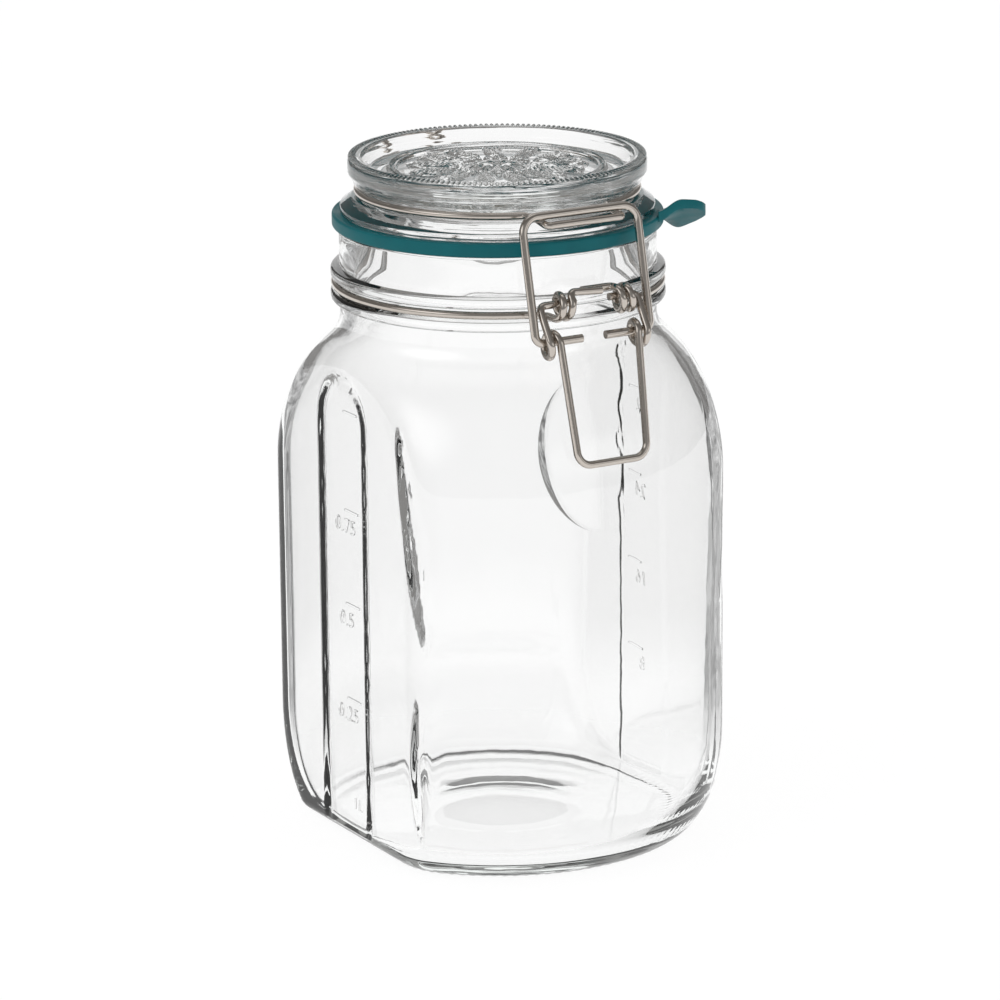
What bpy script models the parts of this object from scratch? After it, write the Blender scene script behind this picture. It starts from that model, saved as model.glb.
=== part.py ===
# Clip-top glass storage jar: a pressed glass body with two flat sides, a glass lid on a rubber
# gasket, a wire clasp at the front and a wire hinge at the back. Lengths are in metres and +Z is
# up. The clasp faces -Y, the hinge is at +Y, and the flat sides face +X and -X.
import math

import bmesh
import bpy
from mathutils import Vector

# Sizes that several pieces share
BODY_RADIUS = 0.0605
FLAT_HALF = 0.0475
RIM_HEIGHT = 0.1652
NECK_RADIUS = 0.0419
WIRE = 0.0010
CLEARANCE = 0.0003
COIL_GAP = 0.0007

# How finely round shapes are cut
SEGMENTS = 64
CORNER_STEPS = 5
COIL_STEP = math.radians(24)
SMOOTH_ANGLE = math.radians(35)

# Jar body: flat sides, heel, floor, shoulder and neck
FLAT_BLEND = 0.0040
FLAT_HEEL_INSET = 0.0035
FLAT_HEEL_HEIGHT = 0.0045
BODY_WALL = 0.0033
HEEL_INSET = 0.0125
HEEL_HEIGHT = 0.0315
BEARING_WIDTH = 0.0080
FLOOR_THICKNESS = 0.0062
FLOOR_INSET = 0.0172
PUNT_RADIUS = 0.0200
PUNT_SLOPE = 0.0060
PUNT_HEIGHT = 0.0035
SHOULDER_RADIUS = 0.0480
NECK_LENGTH = 0.0267
NECK_WALL = 0.0034
RIM_CHAMFER = 0.0006
RIDGE_DROP = 0.0106
RIDGE_REACH = 0.0024
RIDGE_WIDTH = 0.0030
RIDGE_CHAMFER = 0.0008
GROOVE_WIDTH = 0.0030

# Gasket and its pull tab
GASKET_LIP = 0.0018
GASKET_THICKNESS = 0.0030
GASKET_CHAMFER = 0.0004
TAB_ANGLE = math.radians(59)
TAB_ROOT = 0.0030
TAB_LENGTH = 0.0112
TAB_HALF_WIDTH = 0.0078
TAB_THICKNESS = 0.0022
TAB_RISE = 0.0036
TAB_WIDTH_SHARES = ((0, 0.72), (0.3, 0.8), (0.5, 0.95), (0.68, 1), (0.84, 0.84), (0.95, 0.5), (1, 0.16))

# Lid, from its plug up to its rim
LID_PLUG_PLAY = 0.0032
LID_PLUG_DEPTH = 0.0056
LID_PLUG_WALL = 0.0032
LID_PLUG_CHAMFER = 0.0008
LID_FLANGE_INSET = 0.0022
LID_FLANGE_EDGE = 0.0017
LID_FLANGE_CHAMFER = 0.0005
LID_FLANGE_HEIGHT = 0.0044
LID_FLANGE_SLOPE = 0.0027
LID_WAIST_DEPTH = 0.0032
LID_WAIST_WIDTH = 0.0030
LID_RIM_REACH = 0.0038
LID_RIM_UNDERCUT = 0.0014
LID_RIM_RISE = 0.0026
LID_RIM_DEPTH = 0.0052
LID_RIM_WALL = 0.0056
LID_RIM_ROUND = 0.0010
LID_RECESS = 0.0038
LID_RECESS_FILLET = 0.0022
LID_PLATE = 0.0052

# Neck band: its two front eyes, its lapped ends and the hinge bar at the back
EYE_RADIUS = 0.00305
EYE_OUT = 0.0048
EYE_OUTER_X = 0.0110
EYE_LEAD = 0.0034
EYE_LEAD_ANGLE = math.radians(21)
LAP_END = 0.0022
LAP_BACK = 0.0017
LAP_RISE = 0.0006
LAP_TURN = math.radians(45)
BAND_BEND = 0.0014
HINGE_OUT = 0.0068
HINGE_DROP = 0.0002
HINGE_MARGIN = 0.0037
HINGE_FOOT_OUT = 0.0058
HINGE_FOOT_ANGLE = math.radians(19)
HINGE_BEND = 0.0018

# Lid band: its front nose, its arms and the two coils round the hinge bar
NOSE_HALF = 0.0113
NOSE_OUT = 0.0034
NOSE_DROP = 0.0010
NOSE_ANGLE = math.radians(19.5)
LID_COIL_X = 0.0088
LID_COIL_TAIL = math.radians(20)
LID_ARM_OUT = 0.0005
LID_ARM_RISE = 0.0006
LID_ARM_ANGLE = math.radians(16)
LID_BAND_BEND = 0.0014

# Clasp: the bail and the lever, which sit a little to one side
BAIL_WIRE = 0.0011
BAIL_TOP_BEND = 0.0045
BAIL_FOOT_BEND = 0.0022
BAIL_PIN_END = 0.0035
BAIL_NOSE_INSET = 0.0012
BAIL_SIDE_PLAY = 0.0005
CLASP_DROP = 0.0091
CLASP_OUT = 0.0028
CLASP_SHIFT = 0.0012
HOOK_END = 0.0050
HOOK_BEND = 0.0016
LEVER_COIL_RADIUS = 0.00305
LEVER_FOOT_HALF = 0.0102
LEVER_FOOT_BEND = 0.0038
LEVER_FOOT_SHIFT = 0.0010
LEVER_FOOT_DROP = 0.0514
LEVER_STANDOFF = 0.0005

# Radii that follow from those sizes
SHOULDER_CENTRE = BODY_RADIUS - SHOULDER_RADIUS
INNER_RADIUS = BODY_RADIUS - BODY_WALL
FLOOR_RADIUS = INNER_RADIUS - FLOOR_INSET
BEARING_OUTER = BODY_RADIUS - HEEL_INSET
BEARING_INNER = BEARING_OUTER - BEARING_WIDTH
MOUTH_RADIUS = NECK_RADIUS - NECK_WALL
RIDGE_RADIUS = NECK_RADIUS + RIDGE_REACH
BAND_RADIUS = NECK_RADIUS + CLEARANCE + WIRE
GASKET_OUTER = NECK_RADIUS + GASKET_LIP
LID_PLUG_RADIUS = MOUTH_RADIUS - LID_PLUG_PLAY
GASKET_INNER = LID_PLUG_RADIUS + CLEARANCE
LID_FLANGE_RADIUS = GASKET_OUTER - LID_FLANGE_INSET
LID_FLANGE_SHOULDER = LID_FLANGE_RADIUS - LID_FLANGE_SLOPE
LID_WAIST_RADIUS = LID_FLANGE_SHOULDER - LID_WAIST_DEPTH
LID_BAND_RADIUS = LID_WAIST_RADIUS + CLEARANCE + WIRE
LID_RIM_RADIUS = LID_WAIST_RADIUS + LID_RIM_REACH
LID_RIM_INNER = LID_RIM_RADIUS - LID_RIM_WALL

# Heights that follow from those sizes
NECK_ROOT = RIM_HEIGHT - NECK_LENGTH
SHOULDER_RISE = math.sqrt(SHOULDER_RADIUS**2 - (NECK_RADIUS - SHOULDER_CENTRE) ** 2)
SHOULDER_START = NECK_ROOT - SHOULDER_RISE
RIDGE_TOP = RIM_HEIGHT - RIDGE_DROP
BAND_HEIGHT = RIDGE_TOP - RIDGE_WIDTH - GROOVE_WIDTH / 2
EYE_HEIGHT = BAND_HEIGHT + EYE_RADIUS
GASKET_BOTTOM = RIM_HEIGHT + CLEARANCE
LID_SEAT = GASKET_BOTTOM + GASKET_THICKNESS + CLEARANCE
LID_PLUG_BOTTOM = LID_SEAT - LID_PLUG_DEPTH
LID_FLANGE_TOP = LID_SEAT + LID_FLANGE_HEIGHT
LID_BAND_HEIGHT = LID_FLANGE_TOP + LID_WAIST_WIDTH / 2
LID_WAIST_TOP = LID_FLANGE_TOP + LID_WAIST_WIDTH
LID_RIM_BOTTOM = LID_WAIST_TOP + LID_RIM_RISE
LID_TOP = LID_RIM_BOTTOM + LID_RIM_DEPTH
NOSE_HEIGHT = LID_BAND_HEIGHT - NOSE_DROP
LEVER_FOOT_HEIGHT = RIM_HEIGHT - LEVER_FOOT_DROP

# Places of the wires: distances from the jar's axis, half widths across it, and pivots
COIL_PITCH = 2 * WIRE + COIL_GAP
EYE_REACH = BAND_RADIUS + EYE_OUT
NOSE_REACH = LID_FLANGE_RADIUS + NOSE_OUT
HINGE_HALF = LID_COIL_X + HINGE_MARGIN
HINGE_FOOT = BAND_RADIUS + HINGE_FOOT_OUT
LID_ARM_REACH = GASKET_OUTER + HINGE_OUT + LID_ARM_OUT
HOOK_HALF = EYE_OUTER_X + 2 * WIRE + CLEARANCE + CLASP_SHIFT
BAIL_HALF = HOOK_HALF + WIRE + BAIL_WIRE + BAIL_SIDE_PLAY
EYE_PLAY = EYE_RADIUS - 2 * WIRE - CLEARANCE
PIN_PLAY = LEVER_COIL_RADIUS - WIRE - BAIL_WIRE - CLEARANCE
LEVER_PIVOT = Vector((0, -EYE_REACH, EYE_HEIGHT + EYE_PLAY))
BAIL_PIVOT = Vector((-CLASP_SHIFT, -EYE_REACH - CLASP_OUT, LEVER_PIVOT.z - CLASP_DROP))
LID_PIVOT = Vector((0, GASKET_OUTER + HINGE_OUT, RIM_HEIGHT - HINGE_DROP))


def clear_scene():
    for old in list(bpy.data.objects):
        bpy.data.objects.remove(old, do_unlink=True)


def material(name, colour, roughness, metallic=0.0, transmission=0.0):
    made = bpy.data.materials.new(name)
    made.use_nodes = True
    shader = made.node_tree.nodes["Principled BSDF"]
    shader.inputs["Base Color"].default_value = (*colour, 1)
    shader.inputs["Roughness"].default_value = roughness
    shader.inputs["Metallic"].default_value = metallic
    shader.inputs["Transmission Weight"].default_value = transmission
    return made


def pivot(name, place, parent=None):
    """An empty on a joint's axis, which its moving pieces hang from."""
    empty = bpy.data.objects.new(name, None)
    bpy.context.scene.collection.objects.link(empty)
    empty.parent = parent
    empty.location = place - (parent.location if parent else Vector())
    return empty


def add_object(name, data, look, parent):
    made = bpy.data.objects.new(name, data)
    data.materials.append(look)
    bpy.context.scene.collection.objects.link(made)
    made.parent = parent
    return made


def arc(centre_r, centre_z, radius_r, radius_z, start, end, steps):
    """Points on an elliptical arc of an outline, from one angle to another in degrees."""
    turns = [math.radians(start + (end - start) * n / steps) for n in range(steps + 1)]
    return [(centre_r + radius_r * math.cos(t), centre_z + radius_z * math.sin(t)) for t in turns]


def revolve(outline, closed=False):
    """A bmesh of an outline of (radius, height) points turned once round the Z axis."""
    bm = bmesh.new()
    points = [bm.verts.new((r, 0, z)) for r, z in outline]
    ends = points[1:] + points[:1] if closed else points[1:]
    edges = [bm.edges.new(pair) for pair in zip(points, ends)]
    bmesh.ops.spin(
        bm,
        geom=points + edges,
        axis=(0, 0, 1),
        angle=2 * math.pi,
        steps=SEGMENTS,
        use_merge=True,
    )
    bmesh.ops.remove_doubles(bm, verts=bm.verts, dist=CLEARANCE / SEGMENTS)
    bmesh.ops.recalc_face_normals(bm, faces=bm.faces)
    return bm


def finish_mesh(bm, name, origin):
    bmesh.ops.translate(bm, verts=bm.verts, vec=-origin)
    mesh = bpy.data.meshes.new(name)
    bm.to_mesh(mesh)
    bm.free()
    mesh.shade_smooth()
    mesh.set_sharp_from_angle(angle=SMOOTH_ANGLE)
    return mesh


def shoulder_radius(height, wall=0.0):
    """The body's radius on the shoulder arc at a height."""
    reach = SHOULDER_RADIUS - wall
    return SHOULDER_CENTRE + math.sqrt(reach**2 - (height - SHOULDER_START) ** 2)


def shoulder_angle(radius, wall=0.0):
    """Where on the shoulder arc the body reaches a radius, in degrees."""
    return math.degrees(math.acos((radius - SHOULDER_CENTRE) / (SHOULDER_RADIUS - wall)))


def ridge(top):
    """The outline of one raised ring round the neck, from its lower edge up."""
    bottom = top - RIDGE_WIDTH
    return [
        (NECK_RADIUS, bottom),
        (RIDGE_RADIUS, bottom + RIDGE_CHAMFER),
        (RIDGE_RADIUS, top - RIDGE_CHAMFER),
        (NECK_RADIUS, top),
    ]


def pressed(distance, limit):
    """A distance held at a limit, rounded over where it comes near to it."""
    if distance < limit - FLAT_BLEND:
        return distance
    if distance > limit + FLAT_BLEND:
        return limit
    return limit - (limit + FLAT_BLEND - distance) ** 2 / (4 * FLAT_BLEND)


def flat_limit(height, wall):
    """How far a flat side lies from the middle plane at a height. Only the outside has a heel."""
    if wall or height > FLAT_HEEL_HEIGHT:
        return FLAT_HALF - wall
    share = 1 - height / FLAT_HEEL_HEIGHT
    return FLAT_HALF - FLAT_HEEL_INSET * (1 - math.sqrt(1 - share**2))


def make_jar_body(look):
    punt_edge = PUNT_RADIUS + PUNT_SLOPE
    outside = [(0, PUNT_HEIGHT), (PUNT_RADIUS, PUNT_HEIGHT), (punt_edge, PUNT_HEIGHT / 2)]
    outside += [(BEARING_INNER, 0)]
    outside += arc(BEARING_OUTER, HEEL_HEIGHT, HEEL_INSET, HEEL_HEIGHT, -90, 0, 9)
    outside += arc(SHOULDER_CENTRE, SHOULDER_START, SHOULDER_RADIUS, SHOULDER_RADIUS,
                   0, shoulder_angle(NECK_RADIUS), 11)
    outside += ridge(RIDGE_TOP - RIDGE_WIDTH - GROOVE_WIDTH)
    outside += ridge(RIDGE_TOP)
    outside += [(NECK_RADIUS, RIM_HEIGHT - RIM_CHAMFER), (NECK_RADIUS - RIM_CHAMFER, RIM_HEIGHT)]

    inside = [(MOUTH_RADIUS + RIM_CHAMFER, RIM_HEIGHT), (MOUTH_RADIUS, RIM_HEIGHT - RIM_CHAMFER)]
    inside += arc(SHOULDER_CENTRE, SHOULDER_START, SHOULDER_RADIUS - BODY_WALL,
                  SHOULDER_RADIUS - BODY_WALL, shoulder_angle(MOUTH_RADIUS, BODY_WALL), 0, 9)
    inside += arc(FLOOR_RADIUS, HEEL_HEIGHT, FLOOR_INSET, HEEL_HEIGHT - FLOOR_THICKNESS, 0, -90, 7)
    inside += [(punt_edge, FLOOR_THICKNESS + PUNT_HEIGHT / 2)]
    inside += [(PUNT_RADIUS, FLOOR_THICKNESS + PUNT_HEIGHT), (0, FLOOR_THICKNESS + PUNT_HEIGHT)]

    bm = bmesh.new()
    for outline, wall in ((outside, 0), (inside, BODY_WALL)):
        skin = revolve(outline)
        for vert in skin.verts:
            if vert.co.z < NECK_ROOT:
                flat = pressed(abs(vert.co.x), flat_limit(vert.co.z, wall))
                vert.co.x = math.copysign(flat, vert.co.x)
        part = bpy.data.meshes.new("skin")
        skin.to_mesh(part)
        skin.free()
        bm.from_mesh(part)
        bpy.data.meshes.remove(part)
    rims = [e for e in bm.edges if e.is_boundary]
    bmesh.ops.bridge_loops(bm, edges=rims)
    bmesh.ops.recalc_face_normals(bm, faces=bm.faces)
    add_object("jar_body", finish_mesh(bm, "jar_body", Vector()), look, None)


def make_lid(look, parent):
    recess = LID_TOP - LID_RECESS
    ceiling = recess - LID_PLATE
    plug_inner = LID_PLUG_RADIUS - LID_PLUG_WALL
    outline = [(0, recess)]
    outline += arc(LID_RIM_INNER - LID_RECESS_FILLET, recess + LID_RECESS_FILLET,
                   LID_RECESS_FILLET, LID_RECESS_FILLET, -90, 0, 4)
    outline += [(LID_RIM_INNER, LID_TOP - LID_RIM_ROUND), (LID_RIM_INNER + LID_RIM_ROUND, LID_TOP)]
    outline += arc(LID_RIM_RADIUS - LID_RIM_ROUND, LID_TOP - LID_RIM_ROUND,
                   LID_RIM_ROUND, LID_RIM_ROUND, 90, 0, 2)
    outline += [
        (LID_RIM_RADIUS, LID_RIM_BOTTOM),
        (LID_RIM_RADIUS - LID_RIM_UNDERCUT, LID_WAIST_TOP + CLEARANCE),
        (LID_WAIST_RADIUS, LID_WAIST_TOP),
        (LID_WAIST_RADIUS, LID_FLANGE_TOP),
        (LID_FLANGE_SHOULDER, LID_FLANGE_TOP),
        (LID_FLANGE_RADIUS, LID_SEAT + LID_FLANGE_EDGE),
        (LID_FLANGE_RADIUS, LID_SEAT + LID_FLANGE_CHAMFER),
        (LID_FLANGE_RADIUS - LID_FLANGE_CHAMFER, LID_SEAT),
        (LID_PLUG_RADIUS, LID_SEAT),
        (LID_PLUG_RADIUS, LID_PLUG_BOTTOM + LID_PLUG_CHAMFER),
        (LID_PLUG_RADIUS - LID_PLUG_CHAMFER, LID_PLUG_BOTTOM),
        (plug_inner, LID_PLUG_BOTTOM),
        (plug_inner - LID_PLUG_CHAMFER, ceiling - LID_RECESS_FILLET),
        (plug_inner - LID_PLUG_CHAMFER - LID_RECESS_FILLET, ceiling),
        (0, ceiling),
    ]
    bm = revolve(outline)
    add_object("lid", finish_mesh(bm, "lid", LID_PIVOT), look, parent)


def make_gasket(look, parent):
    top = GASKET_BOTTOM + GASKET_THICKNESS
    outline = [
        (GASKET_INNER, GASKET_BOTTOM),
        (GASKET_OUTER - GASKET_CHAMFER, GASKET_BOTTOM),
        (GASKET_OUTER, GASKET_BOTTOM + GASKET_CHAMFER),
        (GASKET_OUTER, top - GASKET_CHAMFER),
        (GASKET_OUTER - GASKET_CHAMFER, top),
        (GASKET_INNER, top),
    ]
    bm = revolve(outline, closed=True)
    gasket = add_object("gasket", finish_mesh(bm, "gasket", LID_PIVOT), look, parent)

    # The pull tab: cross-sections drawn out along the tab, wider in the middle and rounded at the tip
    out = Vector((math.sin(TAB_ANGLE), -math.cos(TAB_ANGLE), 0))
    along = Vector((math.cos(TAB_ANGLE), math.sin(TAB_ANGLE), 0))
    root = GASKET_OUTER - TAB_ROOT
    middle = GASKET_BOTTOM + GASKET_THICKNESS / 2
    flat_share = TAB_WIDTH_SHARES[1][0]
    bm = bmesh.new()
    last = None
    for share, width_share in TAB_WIDTH_SHARES:
        rise = TAB_RISE * max(0, share - flat_share) / (1 - flat_share)
        centre = out * (root + (TAB_ROOT + TAB_LENGTH) * share) + Vector((0, 0, middle + rise))
        half = along * TAB_HALF_WIDTH * width_share
        lift = Vector((0, 0, TAB_THICKNESS / 2))
        corners = [centre - half - lift, centre + half - lift, centre + half + lift, centre - half + lift]
        ring = [bm.verts.new(place) for place in corners]
        edges = [bm.edges.new((ring[n - 1], ring[n])) for n in range(len(ring))]
        if last:
            bmesh.ops.bridge_loops(bm, edges=last + edges)
        last = edges
    bmesh.ops.holes_fill(bm, edges=bm.edges)
    bmesh.ops.recalc_face_normals(bm, faces=bm.faces)
    tool = add_object("tab_tool", finish_mesh(bm, "tab_tool", LID_PIVOT), look, parent)
    tool.hide_render = True
    tool.display_type = "WIRE"
    join = gasket.modifiers.new("tab", "BOOLEAN")
    join.operation = "UNION"
    join.solver = "EXACT"
    join.object = tool


def ring_point(angle, radius, height):
    """A point on a circle round the jar, its angle turned from the front towards +X."""
    return Vector((radius * math.sin(angle), -radius * math.cos(angle), height))


def ring_arc(radius, height, start, end):
    """Points along a circle round the jar, at the corners of the glass it lies against."""
    step = 2 * math.pi / SEGMENTS
    inner = [n * step for n in range(math.ceil(start / step), math.floor(end / step) + 1)]
    angles = [start] + [a for a in inner if start + step / 2 < a < end - step / 2] + [end]
    return [ring_point(a, radius, height) for a in angles]


def coil(centre, radius, outward, turns, xs):
    """Points of a coil round a line along X, from one turn and x to another. The turn is zero
    where the coil lies furthest from the jar, which is towards -Y where outward is -1."""
    steps = max(2, round(abs(turns[1] - turns[0]) / COIL_STEP))
    points = []
    for n in range(steps + 1):
        turn = turns[0] + (turns[1] - turns[0]) * n / steps
        x = xs[0] + (xs[1] - xs[0]) * n / steps
        y = centre.y + outward * radius * math.cos(turn)
        points.append(Vector((x, y, centre.z + radius * math.sin(turn))))
    return points


def tangent_turn(centre, radius, outward, place, swing):
    """The turn at which a straight wire from a place meets a coil. The swing, 1 or -1, says on
    which side of the place."""
    out = outward * (place.y - centre.y)
    up = place.z - centre.z
    return math.atan2(up, out) + swing * math.acos(radius / math.hypot(out, up))


def rounded(points, bends):
    """A path of straight stretches, each corner bent to its radius."""
    path = [points[0]]
    for before, corner, after, bend in zip(points, points[1:], points[2:], bends):
        a = (before - corner).normalized()
        b = (after - corner).normalized()
        half = a.angle(b) / 2
        middle = corner + (a + b).normalized() * bend / math.sin(half)
        start = corner + a * bend / math.tan(half) - middle
        end = corner + b * bend / math.tan(half) - middle
        turn = start.angle(end)
        for n in range(CORNER_STEPS + 1):
            share = n / CORNER_STEPS
            mix = start * math.sin((1 - share) * turn) + end * math.sin(share * turn)
            path.append(middle + mix / math.sin(turn))
    return path + [points[-1]]


def mirrored(path):
    """The same path on the other side of the jar, run the other way."""
    return [Vector((-p.x, p.y, p.z)) for p in reversed(path)]


def make_wire(name, path, radius, look, parent):
    origin = parent.matrix_world.translation if parent else Vector()
    curve = bpy.data.curves.new(name, "CURVE")
    curve.dimensions = "3D"
    curve.bevel_depth = radius
    curve.bevel_resolution = 1
    curve.use_fill_caps = True
    spline = curve.splines.new("POLY")
    spline.points.add(len(path) - 1)
    for point, place in zip(spline.points, path):
        point.co = (*(place - origin), 1)
    add_object(name, curve, look, parent)


def neck_band_half(in_front):
    """The right half of the neck band, from its cut end at the front to the middle of the hinge
    bar. The ends lap, and one of them runs in front of the other."""
    centre = Vector((0, -EYE_REACH, EYE_HEIGHT))
    below = -math.pi / 2
    turned = 3 * math.pi - (LAP_TURN if in_front else 0)
    inner_x = EYE_OUTER_X - COIL_PITCH * turned / (2 * math.pi)
    eye = coil(centre, EYE_RADIUS, -1, (below, below + turned), (EYE_OUTER_X, inner_x))
    top = EYE_HEIGHT + EYE_RADIUS
    lap_y = centre.y + LAP_BACK
    if in_front:
        corner = Vector((inner_x, lap_y - 2 * WIRE - COIL_GAP, top + LAP_RISE))
    else:
        corner = Vector((inner_x, lap_y, top))
    cut = Vector((-LAP_END, corner.y, top))
    path = rounded([cut, corner, eye[-1]], [BAND_BEND]) + eye[-2:0:-1]

    ring = ring_arc(BAND_RADIUS, BAND_HEIGHT, EYE_LEAD_ANGLE, math.pi - HINGE_FOOT_ANGLE)
    turn_in = Vector((EYE_OUTER_X, centre.y + EYE_LEAD, BAND_HEIGHT))
    path += rounded([eye[0], turn_in, ring[0], ring[1]], [BAND_BEND] * 2) + ring[2:-2]
    foot = Vector((HINGE_HALF, HINGE_FOOT, BAND_HEIGHT))
    bar_end = Vector((HINGE_HALF, LID_PIVOT.y, LID_PIVOT.z))
    return path + rounded([ring[-2], ring[-1], foot, bar_end, LID_PIVOT], [HINGE_BEND] * 3)


def make_neck_band(look):
    path = neck_band_half(False) + mirrored(neck_band_half(True))[1:]
    make_wire("neck_band", path, WIRE, look, None)


def make_lid_band(look, parent):
    middle = Vector((0, -NOSE_REACH, NOSE_HEIGHT))
    nose = Vector((NOSE_HALF, -NOSE_REACH, NOSE_HEIGHT))
    prong = Vector((NOSE_HALF, -LID_FLANGE_SHOULDER, LID_BAND_HEIGHT))
    ring = ring_arc(LID_BAND_RADIUS, LID_BAND_HEIGHT, NOSE_ANGLE, math.pi - LID_ARM_ANGLE)
    half = rounded([middle, nose, prong, ring[0], ring[1]], [LID_BAND_BEND] * 3) + ring[2:-2]

    arm = Vector((LID_COIL_X, LID_ARM_REACH, LID_BAND_HEIGHT + LID_ARM_RISE))
    radius = 2 * WIRE + CLEARANCE
    start = tangent_turn(LID_PIVOT, radius, 1, arm, -1)
    end = start - 2 * math.pi - LID_COIL_TAIL
    inner_x = LID_COIL_X - COIL_PITCH * (start - end) / (2 * math.pi)
    wrap = coil(LID_PIVOT, radius, 1, (start, end), (LID_COIL_X, inner_x))
    half += rounded([ring[-2], ring[-1], arm, wrap[0]], [LID_BAND_BEND] * 2) + wrap[1:]
    make_wire("lid_band", mirrored(half)[:-1] + half, WIRE, look, parent)


def make_bail(look, parent):
    """The closing loop: its pins turn in the lever's coils and its bar sits on the lid's nose."""
    slope = NOSE_DROP / (NOSE_REACH - LID_FLANGE_SHOULDER)
    seat = NOSE_HEIGHT + BAIL_NOSE_INSET * slope + WIRE + BAIL_WIRE + CLEARANCE
    bar = Vector((BAIL_PIVOT.x, BAIL_NOSE_INSET - NOSE_REACH, seat))
    half = Vector((BAIL_HALF, 0, 0))
    end = Vector((BAIL_PIN_END, 0, 0))
    points = [BAIL_PIVOT - end, BAIL_PIVOT - half, bar - half]
    points += [bar + half, BAIL_PIVOT + half, BAIL_PIVOT + end]
    bends = [BAIL_FOOT_BEND, BAIL_TOP_BEND, BAIL_TOP_BEND, BAIL_FOOT_BEND]
    make_wire("bail", rounded(points, bends), BAIL_WIRE, look, parent)


def lever_side(side, foot):
    """One side of the lever, from its hook in the neck band's eye to the end of its coil."""
    centre = BAIL_PIVOT - Vector((0, 0, PIN_PLAY))
    end = LEVER_PIVOT + Vector((side * HOOK_END, 0, 0))
    hook = LEVER_PIVOT + Vector((centre.x + side * HOOK_HALF, 0, 0))
    start_turn = tangent_turn(centre, LEVER_COIL_RADIUS, -1, hook, -1)
    end_turn = tangent_turn(centre, LEVER_COIL_RADIUS, -1, foot, 1) - 2 * math.pi
    width = COIL_PITCH * (start_turn - end_turn) / (2 * math.pi)
    xs = [centre.x + side * HOOK_HALF, centre.x + side * (HOOK_HALF - width)]
    wrap = coil(centre, LEVER_COIL_RADIUS, -1, (start_turn, end_turn), xs)
    return rounded([end, hook, wrap[0]], [HOOK_BEND]) + wrap[1:]


def make_lever(look, parent):
    reach = shoulder_radius(LEVER_FOOT_HEIGHT) + WIRE + LEVER_STANDOFF
    foot = Vector((-LEVER_FOOT_SHIFT, -reach, LEVER_FOOT_HEIGHT))
    half = Vector((LEVER_FOOT_HALF, 0, 0))
    left = lever_side(-1, foot)
    right = lever_side(1, foot)
    grip = rounded([left[-1], foot - half, foot + half, right[-1]], [LEVER_FOOT_BEND] * 2)
    make_wire("lever", left + grip[1:-1] + right[::-1], WIRE, look, parent)


def main():
    clear_scene()
    glass = material("clear_glass", (0.97, 0.98, 0.98), 0.03, transmission=1.0)
    rubber = material("teal_rubber", (0.0, 0.115, 0.12), 0.45)
    steel = material("steel_wire", (0.52, 0.48, 0.43), 0.28, metallic=1.0)
    make_jar_body(glass)
    make_neck_band(steel)
    lid_axis = pivot("lid_hinge_axis", LID_PIVOT)
    lever_axis = pivot("lever_axis", LEVER_PIVOT)
    bail_axis = pivot("bail_axis", BAIL_PIVOT, lever_axis)
    bpy.context.view_layer.update()
    make_lid(glass, lid_axis)
    make_gasket(rubber, lid_axis)
    make_lid_band(steel, lid_axis)
    make_lever(steel, lever_axis)
    make_bail(steel, bail_axis)


main()
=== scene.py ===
import math

import bmesh
import bpy
from mathutils import Matrix, Vector, noise


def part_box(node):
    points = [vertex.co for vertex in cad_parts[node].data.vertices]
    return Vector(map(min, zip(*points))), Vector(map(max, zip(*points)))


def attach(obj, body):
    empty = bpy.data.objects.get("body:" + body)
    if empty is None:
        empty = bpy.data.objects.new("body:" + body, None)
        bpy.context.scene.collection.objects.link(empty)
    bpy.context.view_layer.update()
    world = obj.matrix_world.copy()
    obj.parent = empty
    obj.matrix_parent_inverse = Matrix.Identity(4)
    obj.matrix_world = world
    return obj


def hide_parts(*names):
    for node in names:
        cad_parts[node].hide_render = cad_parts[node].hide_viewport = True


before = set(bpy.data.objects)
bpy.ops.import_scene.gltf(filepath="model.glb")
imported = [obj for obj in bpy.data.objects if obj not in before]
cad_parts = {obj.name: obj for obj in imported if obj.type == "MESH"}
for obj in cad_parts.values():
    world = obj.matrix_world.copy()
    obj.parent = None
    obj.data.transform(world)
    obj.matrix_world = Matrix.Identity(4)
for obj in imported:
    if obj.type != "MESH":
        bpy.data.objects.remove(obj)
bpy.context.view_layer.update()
scene = bpy.context.scene


# The camera stands in front of the jar and to its left, a little above the lid. It looks slightly
# down through a long lens, as in the photograph.
VIEW_ANGLE = math.radians(30)
VIEW_DISTANCE = 1.3258
VIEW_HEIGHT = 0.4568
VIEW_PITCH = math.radians(15.498)
VIEW_ROLL = math.radians(-0.484)
SENSOR = 36
LENS = 185.275
camera = bpy.data.objects.new("camera", bpy.data.cameras.new("camera"))
scene.collection.objects.link(camera)
camera.data.sensor_width = SENSOR
camera.data.lens = LENS
stand = Matrix.Rotation(-VIEW_ANGLE, 4, "Z") @ Matrix.Translation((0, -VIEW_DISTANCE, VIEW_HEIGHT))
tilt = Matrix.Rotation(math.pi / 2 - VIEW_PITCH, 4, "X")
camera.matrix_world = stand @ tilt @ Matrix.Rotation(VIEW_ROLL, 4, "Z")
scene.camera = camera


# The studio is set up as for a glass catalogue picture: a white card behind the jar, dark cloth
# hung to both sides of it, and broad white cards beside the camera. The floor is a pale sheet
# that keeps the jar's shadow.
WHITE = (1, 1, 1)
ROOM_IN_GLASS = (0.90, 0.895, 0.885)
ROOM_IN_GLOSS = (0.20, 0.195, 0.19)
AMBIENT = (0.72, 0.72, 0.72)


def node_tree(owner):
    owner.use_nodes = True
    tree = owner.node_tree
    tree.nodes.clear()
    return tree


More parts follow.
